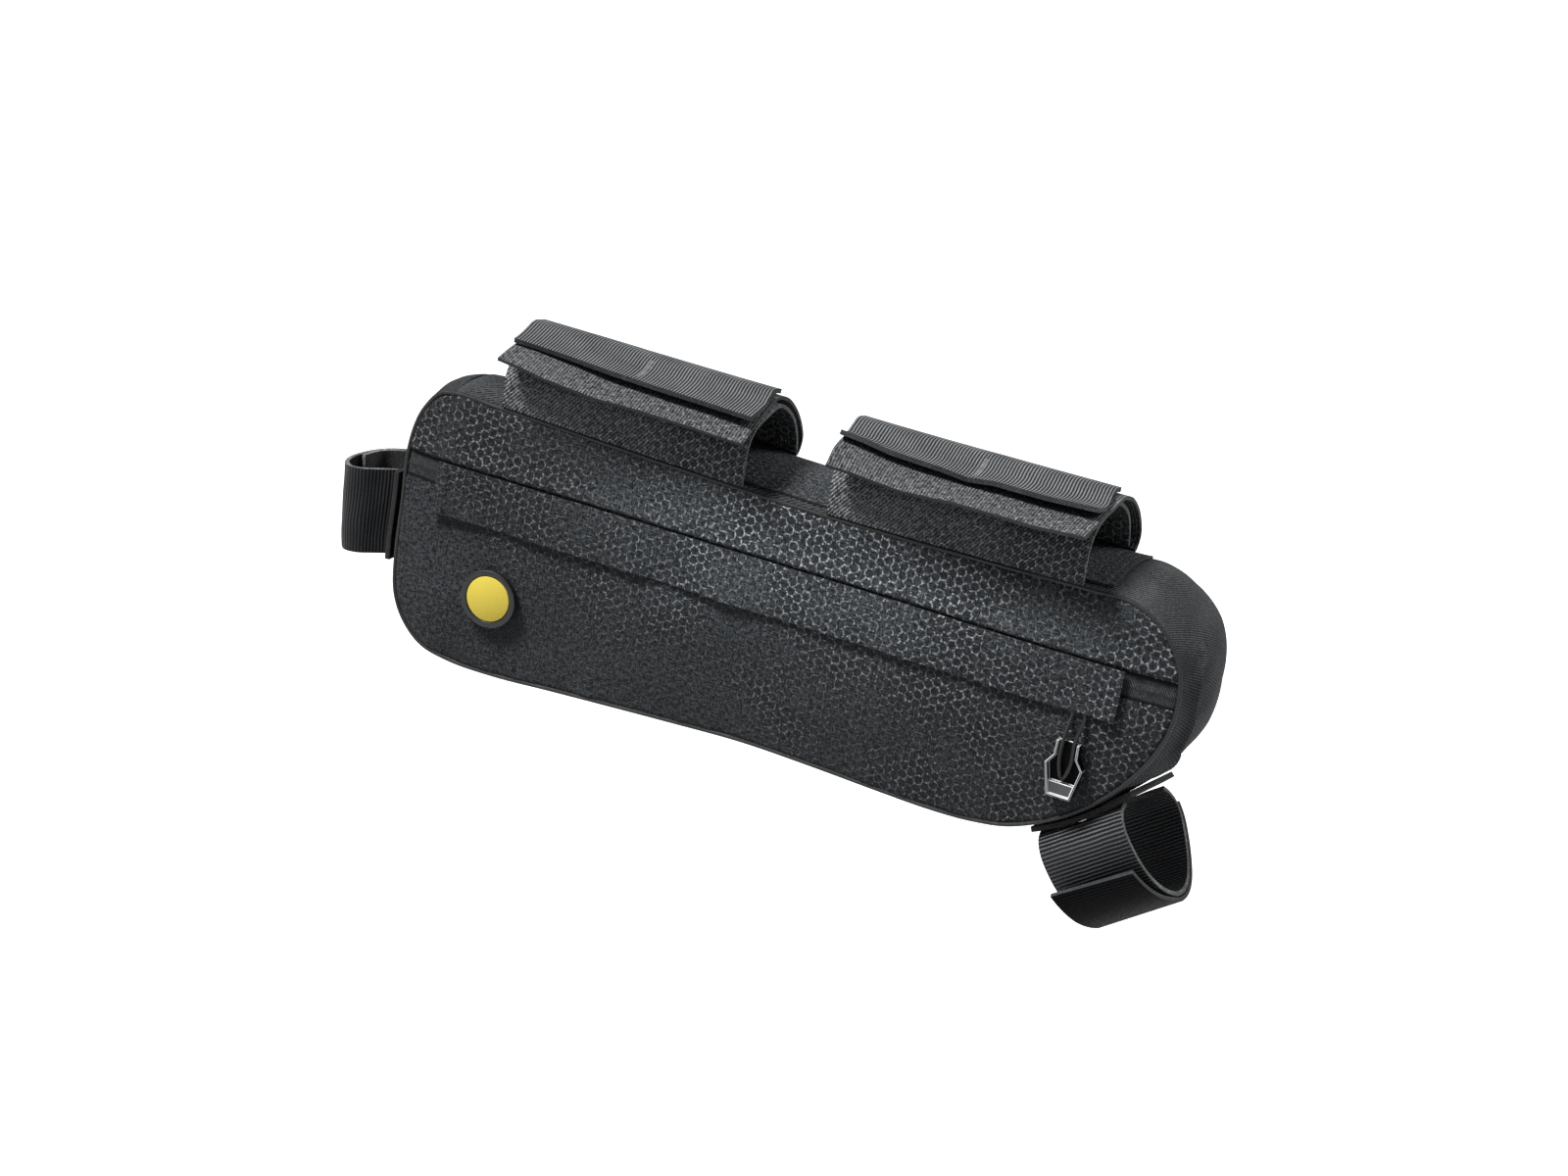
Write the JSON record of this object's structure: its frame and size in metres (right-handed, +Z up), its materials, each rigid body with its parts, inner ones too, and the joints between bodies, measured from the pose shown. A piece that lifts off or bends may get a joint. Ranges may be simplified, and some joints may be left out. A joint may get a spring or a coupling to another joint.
{
  "type": "bicycle frame bag",
  "caption": "Slim zipped bag with rounded ends that hangs in a bicycle frame, with wrap-over cuffs for the top tube, a webbing loop behind and a hook-and-loop strap below.",
  "frame": {"origin": "on the top tube's axis, half way along the bag and half way across it, 15 mm above the bag's top seam", "axes": "+X along the bag towards the bicycle's front, +Y away from the zipped side, +Z up"},
  "size_m": [0.3935, 0.0845, 0.1823],
  "materials": {
    "ripstop_cloth": "charcoal ripstop cloth with a lighter honeycomb grid",
    "zip_tape_cloth": "smooth black mesh tape",
    "gusset_canvas": "dull black canvas",
    "seam_binding": "black binding tape",
    "ribbed_webbing": "black ribbed hook-and-loop webbing",
    "badge_rubber": "satin black rubber",
    "badge_yellow": "satin yellow",
    "pull_cord_braid": "black braided cord",
    "grip_moulding": "black moulded plastic with bright worn edges"
  },
  "bodies": {
    "root": {"front_panel_upper": "ripstop_cloth", "front_panel_lower": "ripstop_cloth", "back_panel": "ripstop_cloth", "zip_flap": "ripstop_cloth", "cuff_rear_inner": "ripstop_cloth", "cuff_rear_outer": "ripstop_cloth", "cuff_front_inner": "ripstop_cloth", "cuff_front_outer": "ripstop_cloth", "zip_tape": "zip_tape_cloth", "gusset": "gusset_canvas", "top_patch": "gusset_canvas", "rear_strap_base": "gusset_canvas", "front_strap_base": "gusset_canvas", "front_seam_bead": "seam_binding", "back_seam_bead": "seam_binding", "cuff_rear_webbing": "ribbed_webbing", "cuff_front_webbing": "ribbed_webbing", "rear_strap_loop": "ribbed_webbing", "rear_strap_lining": "ribbed_webbing", "front_strap_loop": "ribbed_webbing", "front_strap_tab": "ribbed_webbing", "badge_base": "badge_rubber", "badge_face": "badge_yellow", "pull_cord": "pull_cord_braid", "pull_grip": "grip_moulding"}
  },
  "joints": []
}
